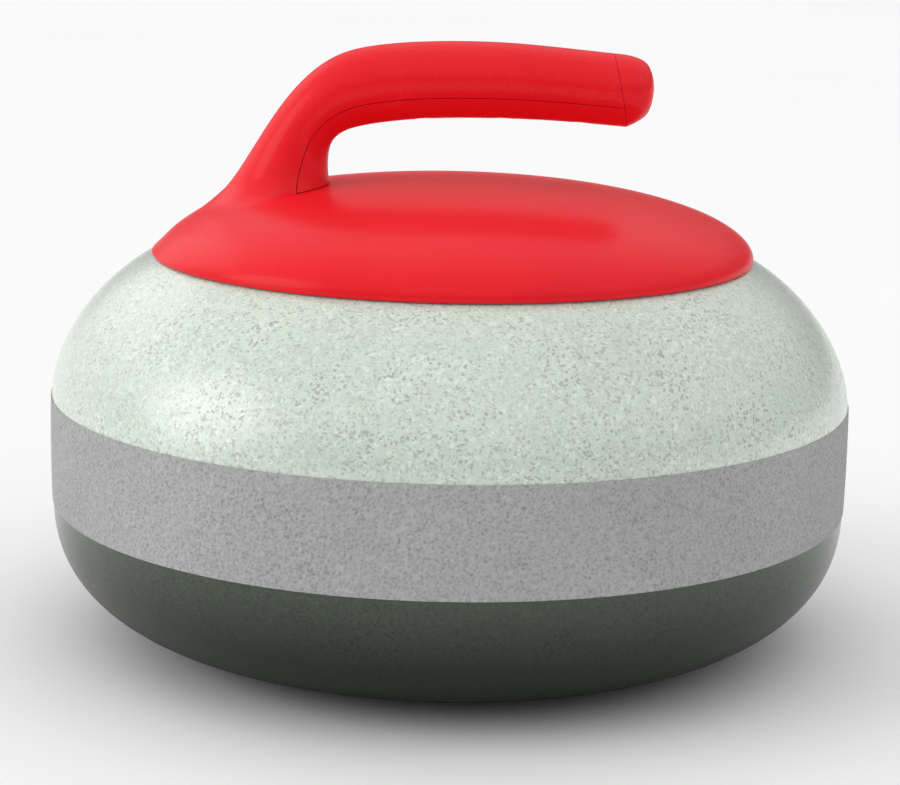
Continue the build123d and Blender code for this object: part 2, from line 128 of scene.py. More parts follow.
# ---- camera and lights in metres, degrees and W/m2 -----------------------------------------------
LENS, SENSOR_WIDTH = 96.43, 36.0
CAMERA_AT, CAMERA_DOWN, CAMERA_ROLL = (0.0, -0.8303, 0.2620), 12.10, 1.14
SUNS = (  # name, direction that it shines from, spread, strength
    ("key", (-0.911, -0.23, 0.341), 40.0, 0.95),
    ("rim", (-0.72, 0.64, 0.27), 50.0, 0.4),
    ("fill", (0.88, -0.3, 0.3), 60.0, 0.22),
)
SKY = ((0.0, 0.13), (0.22, 0.24), (0.5, 0.82), (1.0, 1.0))  # sine of elevation, level
SKY_STRENGTH, BACKDROP = 1.1, 0.83
FLOOR_HALF = 60000.0  # mm


# ---- camera --------------------------------------------------------------------------------------
def make_camera():
    """A long lens a little above the stone, looking down at it and slightly rolled."""
    data = bpy.data.cameras.new("camera")
    data.lens = LENS
    data.sensor_width = SENSOR_WIDTH
    data.clip_start = 0.01
    camera = bpy.data.objects.new("camera", data)
    bpy.context.scene.collection.objects.link(camera)
    pitch, roll = math.radians(90 - CAMERA_DOWN), math.radians(CAMERA_ROLL)
    turn = Matrix.Rotation(pitch, 4, "X") @ Matrix.Rotation(roll, 4, "Z")
    camera.matrix_world = Matrix.Translation(CAMERA_AT) @ turn
    bpy.context.scene.camera = camera


# ---- mesh helpers --------------------------------------------------------------------------------
def new_object(name, vertices, faces, material, sharp=35.0):
    """A mesh object from vertices in mm, with edges over the sharp angle left crisp."""
    mesh = bpy.data.meshes.new(name)
    points = [tuple(v) for v in np.asarray(vertices, float) * MM]
    mesh.from_pydata(points, [], [list(map(int, face)) for face in faces])
    obj = bpy.data.objects.new(name, mesh)
    bpy.context.scene.collection.objects.link(obj)
    work = bmesh.new()
    work.from_mesh(mesh)
    bmesh.ops.remove_doubles(work, verts=work.verts, dist=1e-6)
    bmesh.ops.dissolve_degenerate(work, edges=work.edges, dist=1e-7)
    bmesh.ops.recalc_face_normals(work, faces=work.faces)
    work.to_mesh(mesh)
    work.free()
    mesh.polygons.foreach_set("use_smooth", [True] * len(mesh.polygons))
    mesh.set_sharp_from_angle(angle=math.radians(sharp))
    mesh.materials.append(material)
    return obj


def grid_faces(index, wrap_rows=False, wrap_columns=False):
    """Quads over a 2-D array of vertex numbers."""
    rows, columns = index.shape
    faces = []
    for i in range(rows if wrap_rows else rows - 1):
        for j in range(columns if wrap_columns else columns - 1):
            i2, j2 = (i + 1) % rows, (j + 1) % columns
            faces.append((index[i, j], index[i, j2], index[i2, j2], index[i2, j]))
    return faces


class Builder:
    """Collects points in numbered grids, so that neighbouring grids can share their edges."""

    def __init__(self):
        self.points = []
        self.faces = []

    def add(self, points):
        """Adds an array of points (..., 3) and returns their numbers in the same layout."""
        points = np.asarray(points, float)
        start = len(self.points)
        flat = points.reshape(-1, 3)
        self.points.extend(flat)
        return np.arange(start, start + len(flat)).reshape(points.shape[:-1])

    def skin(self, index, **wraps):
        """Covers a grid of point numbers with quads."""
        self.faces.extend(grid_faces(index, **wraps))


def lathe(name, profile, segments, material, sharp=35.0):
    """Turns a closed (r, z) profile about Z."""
    profile = np.asarray(profile, float)
    angle = np.arange(segments) * 2 * math.pi / segments
    r, z = profile[:, :1], profile[:, 1:]
    points = np.stack((r * np.cos(angle), r * np.sin(angle), np.repeat(z, segments, 1)), axis=-1)
    build = Builder()
    build.skin(build.add(points), wrap_rows=True, wrap_columns=True)
    return new_object(name, build.points, build.faces, material, sharp)


def apply_modifiers(obj):
    """Turns an object's modifiers into its mesh."""
    bpy.context.view_layer.update()
    evaluated = obj.evaluated_get(bpy.context.evaluated_depsgraph_get())
    mesh = bpy.data.meshes.new_from_object(evaluated)
    obj.modifiers.clear()
    obj.data = mesh


def boolean(obj, tool, operation):
    """Applies one exact boolean and removes the tool."""
    modifier = obj.modifiers.new("cut", "BOOLEAN")
    modifier.operation = operation
    modifier.solver = "EXACT"
    modifier.object = tool
    apply_modifiers(obj)
    bpy.data.objects.remove(tool)


def soften_edges(obj, width, angle=50.0):
    """Rounds the edges sharper than angle by a small width in mm."""
    modifier = obj.modifiers.new("edges", "BEVEL")
    modifier.width = width * MM
    modifier.segments = 2
    modifier.limit_method = "ANGLE"
    modifier.angle_limit = math.radians(angle)
    apply_modifiers(obj)
    obj.data.polygons.foreach_set("use_smooth", [True] * len(obj.data.polygons))
    obj.data.set_sharp_from_angle(angle=math.radians(45))


# ---- profiles ------------------------------------------------------------------------------------
def natural_spline(knots, values):
    """A natural cubic spline through the values at the knots, as a function."""
    n = len(knots)
    step = np.diff(knots)
    slope = np.diff(values) / step
    matrix, right = np.eye(n), np.zeros(n)
    for i in range(1, n - 1):
        matrix[i, i - 1 : i + 2] = step[i - 1], 2 * (step[i - 1] + step[i]), step[i]
        right[i] = 6 * (slope[i] - slope[i - 1])
    bend = np.linalg.solve(matrix, right)

    def at(t):
        i = np.clip(np.searchsorted(knots, t) - 1, 0, n - 2)
        h, a, b = step[i], knots[i + 1] - t, t - knots[i]
        cubic = (bend[i] * a**3 + bend[i + 1] * b**3) / (6 * h)
        left = (values[i] / h - bend[i] * h / 6) * a
        right = (values[i + 1] / h - bend[i + 1] * h / 6) * b
        return cubic + left + right

    return at


def shoulder(r_flat, r_side, z_flat, z_side, powers, steps):
    """Points of a quarter superellipse, from the upright side to the flat end."""
    a = np.linspace(0, math.pi / 2, steps + 1)
    z = z_side + (z_flat - z_side) * np.sin(a) ** (2 / powers[0])
    r = r_flat + (r_side - r_flat) * np.clip(np.cos(a), 0, None) ** (2 / powers[1])
    return np.stack((r, z), axis=1)


def over_z(r):
    """Height of the granite's upper shoulder at radius r."""
    across = (r - RING_OUT) / (POLISH_R - RING_OUT)
    return BAND_TOP + (STONE_H - BAND_TOP) * (1 - across ** TOP_POWERS[1]) ** (1 / TOP_POWERS[0])


def under_z(r):
    """Height of the granite's lower shoulder at radius r."""
    across = (r - RING_OUT) / (POLISH_R - RING_OUT)
    return BAND_LOW + (RING_RISE - BAND_LOW) * (1 - across ** LOW_POWERS[1]) ** (1 / LOW_POWERS[0])


def cup_z(r):
    """Height of the lower cup at radius r; the upper cup is its mirror image."""
    return CUP_DEPTH - (CUP_BALL_R - math.sqrt(CUP_BALL_R**2 - r**2))


def dome_z(r, radius=DOME_R, rise=DOME_RISE):
    """Height of a plain dome at radius r."""
    n, m = DOME_POWERS
    return DOME_RIM_Z + rise * np.clip(1 - np.clip(r / radius, 0, 1) ** m, 0, 1) ** (1 / n)


def cover_z(x, y):
    """Height of the cover: its dome, drawn in under the neck's outer side."""
    r = np.hypot(x, y)
    line_r, line_z = FAIRING_LINE.T
    line = natural_spline(line_r, line_z)(np.clip(r, line_r[0], line_r[-1]))
    round_side = np.clip(np.arctan2(np.abs(y), -x) / FAIRING_SPREAD, 0, 1)
    share = np.cos(round_side * math.pi / 2) ** 2
    depth = np.where(r > line_r[0], np.clip(dome_z(r) - line, 0, None), 0.0)
    return dome_z(r) - depth * share


def hollow_z(x, y):
    """Height of the hollow under the cover."""
    return dome_z(np.hypot(x, y), HOLLOW_R, DOME_RISE - DOME_WALL)


# ---- materials -----------------------------------------------------------------------------------
class Nodes:
    """A small helper that makes and links shader nodes."""

    def __init__(self, name):
        self.material = bpy.data.materials.new(name)
        self.material.use_nodes = True
        self.tree = self.material.node_tree
        self.shader = self.tree.nodes["Principled BSDF"]
        coordinates = self.tree.nodes.new("ShaderNodeTexCoord")
        self.place = coordinates.outputs["Object"]

    def set(self, **values):
        """Sets sockets of the shader by name, with underscores for spaces."""
        for name, value in values.items():
            self.shader.inputs[name.replace("_", " ")].default_value = value

    def wire(self, target, source):
        """Links a socket or sets a plain value."""
        if isinstance(source, bpy.types.NodeSocket):
            self.tree.links.new(source, target)
        else:
            target.default_value = source

    def noise(self, scale, detail=2.0, rough=0.5, place=None, output="Fac"):
        """Fractal noise at so many features to the metre."""
        node = self.tree.nodes.new("ShaderNodeTexNoise")
        self.wire(node.inputs["Vector"], place or self.place)
        node.inputs["Scale"].default_value = scale
        node.inputs["Detail"].default_value = detail
        node.inputs["Roughness"].default_value = rough
        return node.outputs[output]

    def cells(self, scale, output="Color", place=None):
        """Voronoi cells at so many to the metre."""
        node = self.tree.nodes.new("ShaderNodeTexVoronoi")
        self.wire(node.inputs["Vector"], place or self.place)
        node.inputs["Scale"].default_value = scale
        return node.outputs[output]

    def math(self, operation, a, b=0.0, c=0.0, clamp=False):
        """One arithmetic step."""
        node = self.tree.nodes.new("ShaderNodeMath")
        node.operation = operation
        node.use_clamp = clamp
        for socket, value in zip(node.inputs, (a, b, c)):
            self.wire(socket, value)
        return node.outputs[0]

    def ramp(self, source, stops):
        """A colour ramp of (position, colour) stops; a plain number stands for a grey."""
        node = self.tree.nodes.new("ShaderNodeValToRGB")
        elements = node.color_ramp.elements
        while len(elements) < len(stops):
            elements.new(0.5)
        for element, (position, colour) in zip(elements, stops):
            element.position = position
            if isinstance(colour, (int, float)):
                colour = (colour, colour, colour)
            element.color = (*colour, 1.0)
        self.wire(node.inputs["Fac"], source)
        return node.outputs["Color"]

    def mix(self, factor, a, b, blend="MIX"):
        """Mixes two colours."""
        node = self.tree.nodes.new("ShaderNodeMix")
        node.data_type = "RGBA"
        node.blend_type = blend
        self.wire(node.inputs["Factor"], factor)
        for socket, value in ((node.inputs[6], a), (node.inputs[7], b)):
            self.wire(socket, (*value, 1.0) if isinstance(value, tuple) else value)
        return node.outputs[2]

    def split(self, vector):
        """The X, Y and Z of a vector, or the red, green and blue of a colour."""
        node = self.tree.nodes.new("ShaderNodeSeparateXYZ")
        self.wire(node.inputs[0], vector)
        return node.outputs

    def shifted(self, amount, scale):
        """The place, pushed about by noise."""
        node = self.tree.nodes.new("ShaderNodeVectorMath")
        node.operation = "MULTIPLY_ADD"
        self.wire(node.inputs[0], self.noise(scale, output="Color"))
        node.inputs[1].default_value = (amount,) * 3
        self.wire(node.inputs[2], self.place)
        return node.outputs[0]

    def scratches(self, scale, turn):
        """Short hairline scratches, all much the same way: fine wave crests, broken up by noise."""
        turned = self.tree.nodes.new("ShaderNodeMapping")
        turned.inputs["Rotation"].default_value = (0.35, 0.25, turn)
        self.wire(turned.inputs["Vector"], self.place)
        wave = self.tree.nodes.new("ShaderNodeTexWave")
        wave.inputs["Scale"].default_value = scale
        wave.inputs["Distortion"].default_value = 6.0
        wave.inputs["Detail"].default_value = 1.0
        wave.inputs["Detail Scale"].default_value = 0.3
        self.wire(wave.inputs["Vector"], turned.outputs[0])
        crests = self.ramp(wave.outputs["Fac"], ((0.9975, 0.0), (1.0, 1.0)))
        drawn = self.tree.nodes.new("ShaderNodeMapping")
        drawn.inputs["Scale"].default_value = (1.0, 0.35, 1.0)
        self.wire(drawn.inputs["Vector"], turned.outputs[0])
        gaps = self.ramp(self.noise(130.0, 1.0, place=drawn.outputs[0]), ((0.58, 0.0), (0.66, 1.0)))
        return self.math("MULTIPLY", crests, gaps)

    def bump(self, height, distance, strength=1.0, below=None):
        """A bump from a height, over another bump if one is given."""
        node = self.tree.nodes.new("ShaderNodeBump")
        node.inputs["Strength"].default_value = strength
        node.inputs["Distance"].default_value = distance
        self.wire(node.inputs["Height"], height)
        if below is not None:
            self.wire(node.inputs["Normal"], below)
        return node.outputs["Normal"]

    def finish(self, colour, roughness=None, normal=None):
        """Connects what the shader reads and returns the material."""
        for name, source in (("Base Color", colour), ("Roughness", roughness), ("Normal", normal)):
            if source is not None:
                self.wire(self.shader.inputs[name], source)
        return self.material


def granite_grains(nodes, base, contrast=1.0, scale=1.0):
    """Granite round a base colour: felspar, dark and pale flecks, fine pepper, and a slow drift."""

    def tone(share, green=1.0):
        level = 1 + contrast * (share - 1)
        return (base[0] * level, base[1] * level * green, base[2] * level)

    def flecks(per_metre, cover, edge=0.02):
        cell = nodes.split(nodes.cells(per_metre * scale, place=ragged))[0]
        return nodes.ramp(cell, ((0.0, 1.0), (cover, 1.0), (cover + edge, 0.0)))

    ragged = nodes.shifted(0.0009, 1500.0)
    felspar = nodes.split(nodes.cells(1050.0 * scale, place=ragged))
    darkest, palest = tone(0.86, 1.02), tone(1.16, 0.985)
    stops = ((0.0, darkest), (0.3, tone(0.97)), (0.7, tone(1.05)), (1.0, palest))
    colour = nodes.ramp(felspar[1], stops)
    stops = ((0.32, tone(0.82)), (0.5, tone(1.0)), (0.68, tone(1.14)))
    soft = nodes.ramp(nodes.noise(420.0 * scale, 4.0, 0.6), stops)
    colour = nodes.mix(0.5, colour, soft)
    pepper = flecks(2300.0, 0.13)
    colour = nodes.mix(nodes.math("MULTIPLY", pepper, 0.55), colour, tone(0.5))
    pale = flecks(900.0, 0.08)
    colour = nodes.mix(nodes.math("MULTIPLY", pale, 0.5), colour, tone(1.4, 0.97))
    crowding = nodes.ramp(nodes.noise(65.0 * scale, 3.0), ((0.35, 0.35), (0.65, 1.0)))
    dark = nodes.math("MULTIPLY", flecks(1250.0, 0.12, 0.03), crowding)
    colour = nodes.mix(nodes.math("MULTIPLY", dark, 0.75), colour, tone(0.3, 0.96))
    drift = nodes.ramp(nodes.noise(16.0, 3.0), ((0.3, 0.97), (0.7, 1.08)))
    return nodes.mix(1.0, colour, drift, "MULTIPLY"), dark


def polished_granite(name, base, contrast, specular):
    """Granite ground and polished, its softer grains a hair lower than the rest."""
    nodes = Nodes(name)
    colour, flecks = granite_grains(nodes, base, contrast)
    roughness = nodes.math("MULTIPLY_ADD", nodes.noise(420.0, 3.0), 0.1, 0.3)
    roughness = nodes.math("MULTIPLY_ADD", flecks, 0.15, roughness)
    normal = nodes.bump(nodes.math("MULTIPLY", flecks, nodes.noise(1500.0)), -0.00003, 0.3)
    nodes.set(IOR=1.5, Specular_IOR_Level=specular)
    nodes.set(Coat_Weight=0.8, Coat_IOR=1.5, Coat_Roughness=0.25)
    return nodes.finish(colour, roughness, normal)


def lower_granite_painted_shade():
    """The same polish over the lower half, its colour painted shade: dark, and a little lighter up
    towards the band.
    """
    nodes = Nodes("granite_lower_painted_shade")
    colour, flecks = granite_grains(nodes, LOWER_GRANITE_PAINTED_SHADE, 1.3)
    height = nodes.math("DIVIDE", nodes.split(nodes.place)[2], BAND_LOW * MM, clamp=True)
    # painted shade by height: darkest half way down, lightest up at the band
    painted_shade = nodes.ramp(height, ((0.0, 0.65), (0.5, 0.5), (1.0, 1.3)))
    colour = nodes.mix(1.0, colour, painted_shade, "MULTIPLY")
    roughness = nodes.math("MULTIPLY_ADD", nodes.noise(420.0, 3.0), 0.1, 0.4)
    normal = nodes.bump(nodes.math("MULTIPLY", flecks, nodes.noise(1500.0)), -0.00003, 0.3)
    nodes.wire(nodes.shader.inputs["Coat Weight"], nodes.ramp(height, ((0.2, 0.02), (1.0, 1.0))))
    nodes.set(IOR=1.5, Specular_IOR_Level=0.05, Coat_IOR=1.6, Coat_Roughness=0.2)
    return nodes.finish(colour, roughness, normal)


def pecked_granite():
    """The striking band: granite dulled by pecking all over, so that it is matt and greyer."""
    nodes = Nodes("granite_band")
    colour, _ = granite_grains(nodes, PECKED_GRANITE, 0.45, 1.1)
    place = nodes.shifted(0.0009, 500.0)
    pecks = nodes.cells(820.0, output="Distance", place=place)
    # darker at the middle of each peck, where its hollow is, and paler between the pecks
    peck_tone = nodes.ramp(pecks, ((0.08, 0.84), (0.3, 1.0), (0.6, 1.1)))
    colour = nodes.mix(1.0, colour, peck_tone, "MULTIPLY")
    roughness = nodes.math("MULTIPLY_ADD", nodes.noise(900.0, 3.0), 0.15, 0.78)
    normal = nodes.bump(pecks, 0.0006, 0.9)
    normal = nodes.bump(nodes.noise(2600.0, 3.0), 0.00015, 0.9, normal)
    nodes.set(Specular_IOR_Level=0.3)
    return nodes.finish(colour, roughness, normal)


def granite_insert():
    """The harder blue-grey granite of the insert, finer in grain, with a honed running ring."""
    nodes = Nodes("insert_granite")
    colour, _ = granite_grains(nodes, INSERT_GRANITE, 1.1, 1.5)
    x, y, _ = nodes.split(nodes.place)
    squares = nodes.math("MULTIPLY", x, x), nodes.math("MULTIPLY", y, y)
    radius = nodes.math("SQRT", nodes.math("ADD", *squares))
    off_ring = nodes.math("ABSOLUTE", nodes.math("SUBTRACT", radius, (RING_IN + RING_OUT) / 2 * MM))
    off_ring = nodes.math("MULTIPLY", off_ring, 1 / MM)
    worn = nodes.ramp(off_ring, ((0.0, 1.0), (0.25, 1.0), (0.32, 0.0)))
    colour = nodes.mix(nodes.math("MULTIPLY", worn, 0.3), colour, HONED_RING)
    base = nodes.math("MULTIPLY_ADD", nodes.noise(700.0, 3.0), 0.12, 0.3)
    roughness = nodes.math("MULTIPLY_ADD", worn, 0.28, base)
    normal = nodes.bump(nodes.noise(2500.0, 3.0), 0.00005, 0.5)
    nodes.set(Specular_IOR_Level=0.45)
    return nodes.finish(colour, roughness, normal)


def moulded_red():
    """Gloss red moulded plastic, with a faint orange peel, a stippled grip and hairline scuffs."""
    nodes = Nodes("red_plastic")
    drift = nodes.ramp(nodes.noise(22.0, 4.0), ((0.3, DEEP_RED), (0.7, BRIGHT_RED)))
    height = nodes.split(nodes.place)[2]
    grip = nodes.math("MULTIPLY_ADD", height, 60.0, -10.0, clamp=True)
    stipple = nodes.cells(1150.0, output="Distance")
    peel = nodes.noise(420.0, 2.0)
    normal = nodes.bump(peel, 0.00009, 0.45)
    normal = nodes.bump(nodes.math("MULTIPLY", stipple, grip), 0.0002, 0.6, normal)
    wear = nodes.noise(90.0, 5.0, 0.65)
    roughness = nodes.math("MULTIPLY_ADD", wear, 0.14, 0.33)
    roughness = nodes.math("MULTIPLY_ADD", grip, 0.08, roughness)
    patches = nodes.ramp(nodes.noise(30.0, 2.0), ((0.42, 0.2), (0.6, 1.0)))
    scuffs = nodes.math("MAXIMUM", nodes.scratches(38.0, 0.5), nodes.scratches(27.0, 1.9))
    scuffs = nodes.math("MAXIMUM", scuffs, nodes.scratches(31.0, -0.6))
    scuffs = nodes.math("MULTIPLY", scuffs, patches)
    roughness = nodes.math("MULTIPLY_ADD", scuffs, 0.18, roughness)
    colour = nodes.mix(nodes.math("MULTIPLY", scuffs, 0.07), drift, SCUFFED_RED)
    normal = nodes.bump(scuffs, -0.00002, 0.5, normal)
    nodes.set(IOR=1.46, Specular_IOR_Level=0.06)
    nodes.set(Coat_Weight=0.2, Coat_IOR=1.5, Coat_Roughness=0.2)
    return nodes.finish(colour, roughness, normal)


def plain_surface(name, tones, tone_noise, gloss, gloss_noise, grain, grain_noise):
    """A cast or moulded surface: two tones, gloss (range, least) and grain (depth, strength)."""
    nodes = Nodes(name)
    colour = nodes.ramp(nodes.noise(*tone_noise), tones)
    roughness = nodes.math("MULTIPLY_ADD", nodes.noise(*gloss_noise), *gloss)
    return nodes.finish(colour, roughness, nodes.bump(nodes.noise(*grain_noise), *grain))


def rubber():
    """Black moulded rubber with a bloom."""
    tones = ((0.3, (0.012, 0.012, 0.013)), (0.75, (0.03, 0.03, 0.031)))
    gloss, grain = ((0.2, 0.62), (600.0, 3.0)), ((0.00008, 0.4), (2600.0, 2.0))
    return plain_surface("black_rubber", tones, (260.0, 4.0), *gloss, *grain)


def black_nylon():
    """Black glass-filled nylon."""
    tones = ((0.35, (0.018, 0.018, 0.019)), (0.7, (0.045, 0.045, 0.046)))
    gloss, grain = ((0.18, 0.4), (800.0, 3.0)), ((0.00006, 0.4), (1900.0, 2.0))
    return plain_surface("black_nylon", tones, (1400.0, 3.0), *gloss, *grain)


def white_nylon():
    """Natural white nylon."""
    tones = ((0.3, (0.68, 0.66, 0.6)), (0.7, (0.78, 0.765, 0.71)))
    gloss, grain = ((0.12, 0.38), (500.0, 2.0)), ((0.00005, 0.3), (1500.0, 2.0))
    return plain_surface("white_nylon", tones, (120.0, 3.0), *gloss, *grain)


def epoxy():
    """Filled epoxy, squeezed out level and a little uneven."""
    tones = ((0.3, (0.2, 0.19, 0.15)), (0.7, (0.33, 0.315, 0.26)))
    gloss, grain = ((0.2, 0.42), (500.0, 2.0)), ((0.0001, 0.5), (900.0, 3.0))
    return plain_surface("epoxy", tones, (800.0, 4.0), *gloss, *grain)


def metal(name, low, high, rough_low, rough_range):
    """Turned or plated metal with fine marks round its axis and a mottled finish."""
    nodes = Nodes(name)
    mottle = nodes.noise(700.0, 5.0, 0.6)
    colour = nodes.ramp(mottle, ((0.3, low), (0.7, high)))
    roughness = nodes.math("MULTIPLY_ADD", mottle, rough_range, rough_low)
    marks = nodes.tree.nodes.new("ShaderNodeMapping")
    marks.inputs["Scale"].default_value = (1.0, 1.0, 12.0)
    nodes.wire(marks.inputs["Vector"], nodes.place)
    normal = nodes.bump(nodes.noise(1600.0, 3.0, place=marks.outputs[0]), 0.00005, 0.35)
    nodes.set(Metallic=1.0)
    return nodes.finish(colour, roughness, normal)


def floor_white():
    """A pale matt floor with a trace of tone."""
    nodes = Nodes("floor")
    colour = nodes.ramp(nodes.noise(1.5, 2.0), ((0.3, 0.905), (0.7, 0.92)))
    nodes.set(Roughness=0.9, Specular_IOR_Level=0.1)
    return nodes.finish(colour)


# ---- granite pieces ------------------------------------------------------------------------------
def cup_points(r_from, r_to, steps):
    """Points of the lower cup between two radii."""
    return [(r, cup_z(r)) for r in np.linspace(r_from, r_to, steps + 1)]


def stone_profile():
    """The body's closed profile, from the pocket's mouth up its outside and back down the bore."""
    pocket_r = INSERT_R + BOND
    low = [(pocket_r, under_z(pocket_r))]
    curve = shoulder(RING_OUT, POLISH_R, RING_RISE, BAND_LOW, LOW_POWERS, 44)[::-1]
    low += [tuple(p) for p in curve if p[0] > pocket_r + 0.5]
    edge = BELT_R - BELT_CROWN
    rows = np.linspace(-1, 1, 33)
    middle, half = (BAND_LOW + BAND_TOP) / 2, (BAND_TOP - BAND_LOW) / 2
    crown, reach = BELT_CROWN - CLOSE, half - BAND_EDGE
    band = [(edge + crown * (1 - v**2), middle + v * reach) for v in rows]
    band = [(edge - BAND_EDGE, BAND_LOW)] + band + [(edge - BAND_EDGE, BAND_TOP)]
    top = [tuple(p) for p in shoulder(RING_OUT, POLISH_R, STONE_H, BAND_TOP, TOP_POWERS, 48)]
    cup = [(r, STONE_H - z) for r, z in cup_points(RING_IN, TOP_RECESS_R, 16)]
    inside = [
        (TOP_RECESS_R, TOP_RECESS_FLOOR),
        (BORE_R, TOP_RECESS_FLOOR),
        (BORE_R, INSERT_TOP + BOND),
        (pocket_r, INSERT_TOP + BOND),
    ]
    return low + band + top + cup + inside


def make_stone():
    """The turned granite body, its band roughened by pecking."""
    upper = polished_granite("granite_upper", UPPER_GRANITE, 0.8, 0.9)
    stone = lathe("granite_body", stone_profile(), STONE_SEGMENTS, upper, sharp=28.0)
    points = np.zeros(len(stone.data.vertices) * 3)
    stone.data.vertices.foreach_get("co", points)
    points = points.reshape(-1, 3)
    radius = np.hypot(points[:, 0], points[:, 1])
    on_band = (radius > (BELT_R - BELT_CROWN - CLOSE) * MM) & (points[:, 2] > BAND_LOW * MM)
    pecks = np.random.default_rng(PECK_SEED).random(len(points)) ** 2 * PECK_DEPTH * MM
    scale = np.where(on_band, 1 - pecks / np.maximum(radius, MM), 1.0)
    points[:, 0] *= scale
    points[:, 1] *= scale
    stone.data.vertices.foreach_set("co", points.ravel())
    stone.data.update()
    stone.data.materials.append(pecked_granite())
    stone.data.materials.append(lower_granite_painted_shade())
    for face in stone.data.polygons:
        radius, height = math.hypot(face.center.x, face.center.y), face.center.z
        if radius > (POLISH_R - CLOSE) * MM and BAND_LOW * MM < height < BAND_TOP * MM:
            face.material_index = 1
        elif radius < (TOP_RECESS_R + CLOSE) * MM:
            face.material_index = 1
        # faces below the band get the granite with painted shade
        elif height < BAND_LOW * MM + 1e-6:
            face.material_index = 2
    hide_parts("stone_body")
    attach(stone, "stone")


def make_insert(material, bond_material):
    """The running insert with its ring and cup, and the epoxy line round it."""
    edge_z = under_z(INSERT_R)
    shoulder_points = [(r, under_z(r)) for r in np.linspace(RING_OUT + 0.6, INSERT_R - 0.3, 8)]
    profile = [(HEAD_RECESS_R, INSERT_TOP), (HEAD_RECESS_R, cup_z(HEAD_RECESS_R) + 0.4)]
    profile += cup_points(HEAD_RECESS_R + 0.4, RING_IN - 0.25, 30)
    profile += [(RING_IN + 0.15, 0.05), (RING_IN + 0.5, 0.0)]
    profile += [(RING_OUT - 0.4, 0.0), (RING_OUT, 0.12), (RING_OUT + 0.1, RING_RISE - 0.1)]
    profile += shoulder_points
    profile += [(INSERT_R, edge_z + 0.3), (INSERT_R, INSERT_TOP)]
    insert = lathe("running_disc", profile, INSERT_SEGMENTS, material)
    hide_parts("running_insert")
    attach(insert, "stone")
    outer = INSERT_R + BOND
    bond_top = INSERT_TOP + BOND
    line = [(INSERT_R, edge_z + 0.35), (outer, under_z(outer) + 0.3), (outer, bond_top)]
    line += [(HEAD_RECESS_R, bond_top), (HEAD_RECESS_R, INSERT_TOP), (INSERT_R, INSERT_TOP)]
    bond = lathe("epoxy_line", line, INSERT_SEGMENTS, bond_material)
    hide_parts("insert_bond")
    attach(bond, "stone")


# ---- handle --------------------------------------------------------------------------------------
def make_tube(sections):
    """A skin through the sections, by t along it, angle (0 outside, pi inside) and inset."""
    steps = np.linalg.norm(np.diff(sections, axis=0), axis=1)
    length = np.concatenate(([0], np.cumsum(steps)))
    curves = [natural_spline(length / length[-1], sections[:, i]) for i in range(5)]

    def tube(t, angle, inset=0.0):
        xo, zo, xi, zi, half = (curve(np.asarray(t, float)) for curve in curves)
        span = np.hypot(xo - xi, zo - zi)
        along = (span / 2 - inset) * np.cos(angle) / span
        x = (xo + xi) / 2 + along * (xo - xi)
        z = (zo + zi) / 2 + along * (zo - zi)
        y = (half - inset) * np.sin(angle) + 0 * x
        return np.stack(np.broadcast_arrays(x, y, z), axis=-1)

    return tube


TUBE = make_tube(SECTIONS)
CAP = make_tube(CAP_SECTIONS)


def crossing(angle, inset, height):
    """The t at which the tube's skin at each angle comes out of the surface with that height."""
    low, high = np.zeros_like(angle), np.full_like(angle, 0.4)
    for _ in range(40):
        middle = (low + high) / 2
        p = TUBE(middle, angle, inset)
        inside = p[..., 2] < height(p[..., 0], p[..., 1])
        low, high = np.where(inside, middle, low), np.where(inside, high, middle)
    return (low + high) / 2


def parting_angle(inset=0.0):
    """Angle of the parting line on the tube's skin, or on a skin inset from it."""
    return math.acos(-(1 - 2 * PARTING) * HALF_SPAN / (HALF_SPAN - inset))


def over_dome(start, far_r, steps, height):
    """Rows of points over a dome, from each start point outward to the circle of radius far_r."""
    away = start[:, :2] - np.array([NECK_X, 0.0])
    away /= np.linalg.norm(away, axis=1, keepdims=True)
    b = (start[:, :2] * away).sum(1)
    reach = -b + np.sqrt(b**2 - (start[:, :2] ** 2).sum(1) + far_r**2)
    share = np.asarray(steps)[:, None]
    xy = start[None, :, :2] + (share * reach)[..., None] * away[None]
    z = np.where(share <= 0.0, start[:, 2], height(xy[..., 0], xy[..., 1]))
    return np.concatenate((xy, z[..., None]), axis=-1)


def fair(dome_rows, tube_rows, reach):
    """Rounds the corner where dome rows and tube rows share their first row, within reach of it."""
    path = np.concatenate((dome_rows[::-1], tube_rows[1:]))
    corner = len(dome_rows) - 1
    steps = np.linalg.norm(np.diff(path, axis=0), axis=-1)
    s = np.concatenate((np.zeros((1, path.shape[1])), np.cumsum(steps, 0)))
    s -= s[corner]
    out = path.copy()
    for j in range(path.shape[1]):
        if reach[j] < 0.2:
            continue
        near = np.abs(s[:, j]) < reach[j]
        before = np.array([np.interp(-reach[j], s[:, j], path[:, j, k]) for k in range(3)])
        after = np.array([np.interp(reach[j], s[:, j], path[:, j, k]) for k in range(3)])
        w = ((s[near, j] + reach[j]) / (2 * reach[j]))[:, None]
        out[near, j] = (1 - w) ** 2 * before + 2 * w * (1 - w) * path[corner, j] + w**2 * after
    return out[: corner + 1][::-1], out[corner:]


